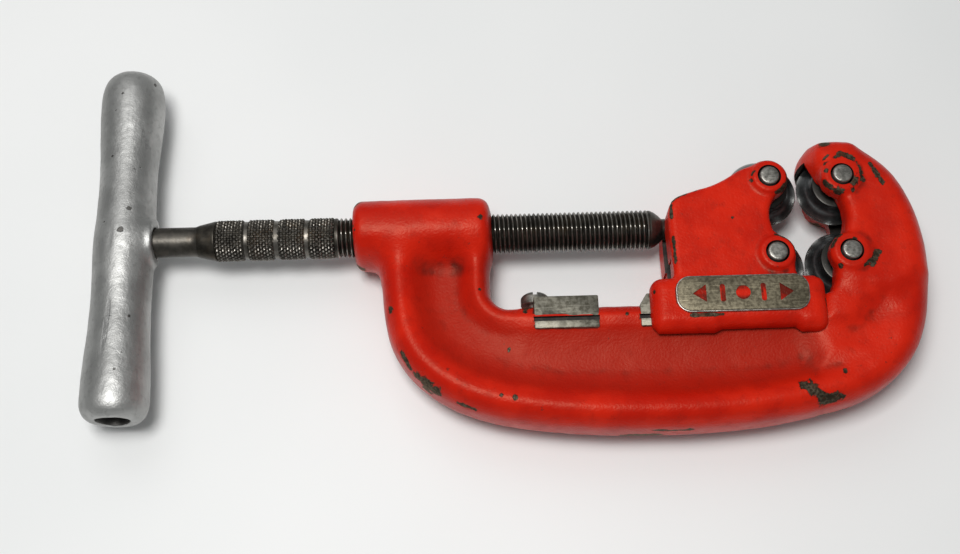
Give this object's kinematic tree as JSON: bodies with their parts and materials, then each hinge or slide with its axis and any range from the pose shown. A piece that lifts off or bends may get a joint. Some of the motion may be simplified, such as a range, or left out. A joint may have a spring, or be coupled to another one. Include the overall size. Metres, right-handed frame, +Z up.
{
  "type": "pipe cutter",
  "caption": "Wheel-type hand pipe cutter: red cast C-frame with rails, a sliding jaw of cutter wheels, a feed screw and a T-handle.",
  "frame": {"origin": "bottom centre of the bounding box; the tool lies on its side on the ends of its wheel pins", "axes": "+X along the feed screw from the T-handle towards the hook, +Y from the C-frame's back towards the screw side, +Z up, along the wheel pins"},
  "size_m": [0.391, 0.1876, 0.0466],
  "materials": {
    "paint_frame": "red gloss paint over cast iron, chipped at the edges; rails bare",
    "paint_slide": "red gloss paint over cast iron, name-plate pads bare",
    "steel_screw": "dark oiled steel with bright thread crests",
    "aluminium_handle": "cast aluminium, scratched",
    "steel_pins": "turned steel",
    "steel_wheels": "hardened steel, ground edge",
    "steel_clips": "dark spring steel",
    "steel_stop_screw": "worn steel"
  },
  "bodies": {
    "frame": {"frame_casting": "paint_frame", "slide_stop_screw": "steel_stop_screw", "hook_upper_wheel_pin": "steel_pins", "hook_lower_wheel_pin": "steel_pins", "hook_upper_pin_clip": "steel_clips", "hook_lower_pin_clip": "steel_clips"},
    "slide": {"slide_housing": "paint_slide", "slide_upper_wheel_pin": "steel_pins", "slide_lower_wheel_pin": "steel_pins", "slide_upper_pin_clip": "steel_clips", "slide_lower_pin_clip": "steel_clips"},
    "screw": {"feed_screw": "steel_screw", "t_handle": "aluminium_handle", "handle_drive_pin": "steel_pins"},
    "hook_upper_wheel": {"hook_upper_cutter_wheel": "steel_wheels"},
    "hook_lower_wheel": {"hook_lower_cutter_wheel": "steel_wheels"},
    "slide_upper_wheel": {"slide_upper_cutter_wheel": "steel_wheels"},
    "slide_lower_wheel": {"slide_lower_cutter_wheel": "steel_wheels"}
  },
  "joints": [
    {"name": "housing_slide", "type": "slide", "parent": "frame", "child": "slide", "axis": [1, 0, 0], "range_m": [-0.05609, 0]},
    {"name": "screw_turn", "type": "hinge", "parent": "slide", "child": "screw", "pos_m": [-0.00845, 0.00485, 0.0233], "axis": [1, 0, 0], "range_deg": [-9540, 0]},
    {"name": "hook_upper_wheel_spin", "type": "hinge", "parent": "frame", "child": "hook_upper_wheel", "pos_m": [0.15715, 0.02155, 0.0233], "axis": [0, 0, 1], "continuous": true},
    {"name": "hook_lower_wheel_spin", "type": "hinge", "parent": "frame", "child": "hook_lower_wheel", "pos_m": [0.15715, -0.01615, 0.0233], "axis": [0, 0, 1], "continuous": true},
    {"name": "slide_upper_wheel_spin", "type": "hinge", "parent": "slide", "child": "slide_upper_wheel", "pos_m": [0.12315, 0.02155, 0.0233], "axis": [0, 0, 1], "continuous": true},
    {"name": "slide_lower_wheel_spin", "type": "hinge", "parent": "slide", "child": "slide_lower_wheel", "pos_m": [0.12315, -0.01615, 0.0233], "axis": [0, 0, 1], "continuous": true}
  ],
  "couplings": [
    {"joint": "housing_slide", "follows": "screw_turn", "m_per_rad": 0.00033688}
  ]
}
